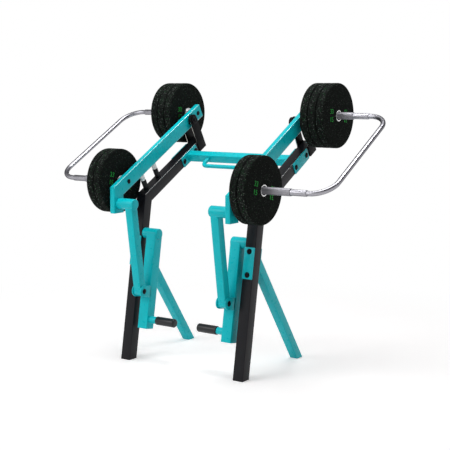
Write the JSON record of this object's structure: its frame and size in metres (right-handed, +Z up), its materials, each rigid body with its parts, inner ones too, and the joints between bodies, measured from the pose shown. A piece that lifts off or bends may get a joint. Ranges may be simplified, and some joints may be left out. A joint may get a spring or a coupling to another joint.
{
  "type": "outdoor hamstring machine",
  "caption": "Outdoor hamstring machine: braced side frames and a crossbar with a handle carry plate-loaded levers, whose links lift swing arms with rolling foot grips.",
  "frame": {"origin": "on the floor, midway between the side frames and midway between the foremost and rearmost edges of the weight plates", "axes": "+Z up, -Y towards the side that the picture shows, +X to the right as seen from there, along the crossbar"},
  "size_m": [2.2936, 1.268, 1.9535],
  "materials": {
    "teal_paint": "satin powder coat",
    "black_paint": "satin powder coat",
    "stainless_steel": "polished tube",
    "black_steel": "black domed bolts",
    "crumb_rubber": "pressed rubber granules with light and green flecks",
    "grip_rubber": "matt",
    "pad_rubber": "matt light grey"
  },
  "bodies": {
    "frame": {"crossbar": "teal_paint", "handle": "teal_paint", "front_frame_left": "black_paint", "fork_upright_left": "black_paint", "lever_pivot_pin_left": "black_steel", "stop_pad_lower_left": "pad_rubber", "stop_pad_upper_left": "pad_rubber", "rear_leg_left": "teal_paint", "leg_clamp_plate_left": "teal_paint", "crossbar_clamp_plate_left": "teal_paint", "front_frame_right": "black_paint", "fork_upright_right": "black_paint", "lever_pivot_pin_right": "black_steel", "stop_pad_lower_right": "pad_rubber", "stop_pad_upper_right": "pad_rubber", "rear_leg_right": "teal_paint", "leg_clamp_plate_right": "teal_paint", "crossbar_clamp_plate_right": "teal_paint"},
    "lever_group_left": {"lever_arm_left": "teal_paint", "weight_rail_left": "stainless_steel", "front_sleeve_left": "stainless_steel", "front_sleeve_bolt_left": "black_steel", "rear_sleeve_left": "stainless_steel", "rear_sleeve_bolt_left": "black_steel"},
    "front_plate_1_group_left": {"front_plate_1_left": "crumb_rubber", "front_plate_1_ring_left": "stainless_steel"},
    "front_plate_2_group_left": {"front_plate_2_left": "crumb_rubber", "front_plate_2_ring_left": "stainless_steel"},
    "rear_plate_1_group_left": {"rear_plate_1_left": "crumb_rubber", "rear_plate_1_ring_left": "stainless_steel"},
    "rear_plate_2_group_left": {"rear_plate_2_left": "crumb_rubber", "rear_plate_2_ring_left": "stainless_steel"},
    "rear_plate_3_group_left": {"rear_plate_3_left": "crumb_rubber", "rear_plate_3_ring_left": "stainless_steel"},
    "link_group_left": {"link_left": "teal_paint"},
    "swing_arm_group_left": {"swing_arm_left": "teal_paint", "clevis_bolt_inner_left": "black_steel", "clevis_bolt_outer_left": "black_steel"},
    "grip_group_left": {"foot_grip_left": "grip_rubber"},
    "lever_group_right": {"lever_arm_right": "teal_paint", "weight_rail_right": "stainless_steel", "front_sleeve_right": "stainless_steel", "front_sleeve_bolt_right": "black_steel", "rear_sleeve_right": "stainless_steel", "rear_sleeve_bolt_right": "black_steel"},
    "front_plate_1_group_right": {"front_plate_1_right": "crumb_rubber", "front_plate_1_ring_right": "stainless_steel"},
    "front_plate_2_group_right": {"front_plate_2_right": "crumb_rubber", "front_plate_2_ring_right": "stainless_steel"},
    "rear_plate_1_group_right": {"rear_plate_1_right": "crumb_rubber", "rear_plate_1_ring_right": "stainless_steel"},
    "rear_plate_2_group_right": {"rear_plate_2_right": "crumb_rubber", "rear_plate_2_ring_right": "stainless_steel"},
    "rear_plate_3_group_right": {"rear_plate_3_right": "crumb_rubber", "rear_plate_3_ring_right": "stainless_steel"},
    "link_group_right": {"link_right": "teal_paint"},
    "swing_arm_group_right": {"swing_arm_right": "teal_paint", "clevis_bolt_inner_right": "black_steel", "clevis_bolt_outer_right": "black_steel"},
    "grip_group_right": {"foot_grip_right": "grip_rubber"}
  },
  "joints": [
    {"name": "lever_lift_left", "type": "hinge", "parent": "frame", "child": "lever_group_left", "pos_m": [-0.4835, 0.32275, 1.68034], "axis": [-1, 0, 0], "range_deg": [0, 16]},
    {"name": "front_plate_1_slide_left", "type": "slide", "parent": "lever_group_left", "child": "front_plate_1_group_left", "axis": [-1, 0, 0], "range_m": [0, 0.16]},
    {"name": "front_plate_2_slide_left", "type": "slide", "parent": "front_plate_1_group_left", "child": "front_plate_2_group_left", "axis": [-1, 0, 0], "range_m": [0, 0.16]},
    {"name": "rear_plate_1_slide_left", "type": "slide", "parent": "lever_group_left", "child": "rear_plate_1_group_left", "axis": [-1, 0, 0], "range_m": [0, 0.08]},
    {"name": "rear_plate_2_slide_left", "type": "slide", "parent": "rear_plate_1_group_left", "child": "rear_plate_2_group_left", "axis": [-1, 0, 0], "range_m": [0, 0.08]},
    {"name": "rear_plate_3_slide_left", "type": "slide", "parent": "rear_plate_2_group_left", "child": "rear_plate_3_group_left", "axis": [-1, 0, 0], "range_m": [0, 0.08]},
    {"name": "link_turn_left", "type": "hinge", "parent": "lever_group_left", "child": "link_group_left", "pos_m": [-0.36, -0.51627, 1.12699], "axis": [1, 0, 0], "range_deg": [0, 4.3]},
    {"name": "arm_swing_left", "type": "hinge", "parent": "frame", "child": "swing_arm_group_left", "pos_m": [-0.36, -0.25813, 0.893], "axis": [-1, 0, 0], "range_deg": [0, 48.4]},
    {"name": "grip_roll_left", "type": "hinge", "parent": "swing_arm_group_left", "child": "grip_group_left", "pos_m": [-0.26, -0.36035, 0.29497], "axis": [1, 0, 0], "continuous": true},
    {"name": "lever_lift_right", "type": "hinge", "parent": "frame", "child": "lever_group_right", "pos_m": [0.4835, 0.32275, 1.68034], "axis": [-1, 0, 0], "range_deg": [0, 16]},
    {"name": "front_plate_1_slide_right", "type": "slide", "parent": "lever_group_right", "child": "front_plate_1_group_right", "axis": [1, 0, 0], "range_m": [0, 0.16]},
    {"name": "front_plate_2_slide_right", "type": "slide", "parent": "front_plate_1_group_right", "child": "front_plate_2_group_right", "axis": [1, 0, 0], "range_m": [0, 0.16]},
    {"name": "rear_plate_1_slide_right", "type": "slide", "parent": "lever_group_right", "child": "rear_plate_1_group_right", "axis": [1, 0, 0], "range_m": [0, 0.08]},
    {"name": "rear_plate_2_slide_right", "type": "slide", "parent": "rear_plate_1_group_right", "child": "rear_plate_2_group_right", "axis": [1, 0, 0], "range_m": [0, 0.08]},
    {"name": "rear_plate_3_slide_right", "type": "slide", "parent": "rear_plate_2_group_right", "child": "rear_plate_3_group_right", "axis": [1, 0, 0], "range_m": [0, 0.08]},
    {"name": "link_turn_right", "type": "hinge", "parent": "lever_group_right", "child": "link_group_right", "pos_m": [0.36, -0.51627, 1.12699], "axis": [1, 0, 0], "range_deg": [0, 4.3]},
    {"name": "arm_swing_right", "type": "hinge", "parent": "frame", "child": "swing_arm_group_right", "pos_m": [0.36, -0.25813, 0.893], "axis": [-1, 0, 0], "range_deg": [0, 48.4]},
    {"name": "grip_roll_right", "type": "hinge", "parent": "swing_arm_group_right", "child": "grip_group_right", "pos_m": [0.26, -0.36035, 0.29497], "axis": [1, 0, 0], "continuous": true}
  ],
  "couplings": [
    {"joint": "arm_swing_left", "follows": "lever_lift_left", "ratio": 3.0234},
    {"joint": "link_turn_left", "follows": "lever_lift_left", "ratio": 0.2685},
    {"joint": "arm_swing_right", "follows": "lever_lift_right", "ratio": 3.0234},
    {"joint": "link_turn_right", "follows": "lever_lift_right", "ratio": 0.2685}
  ]
}
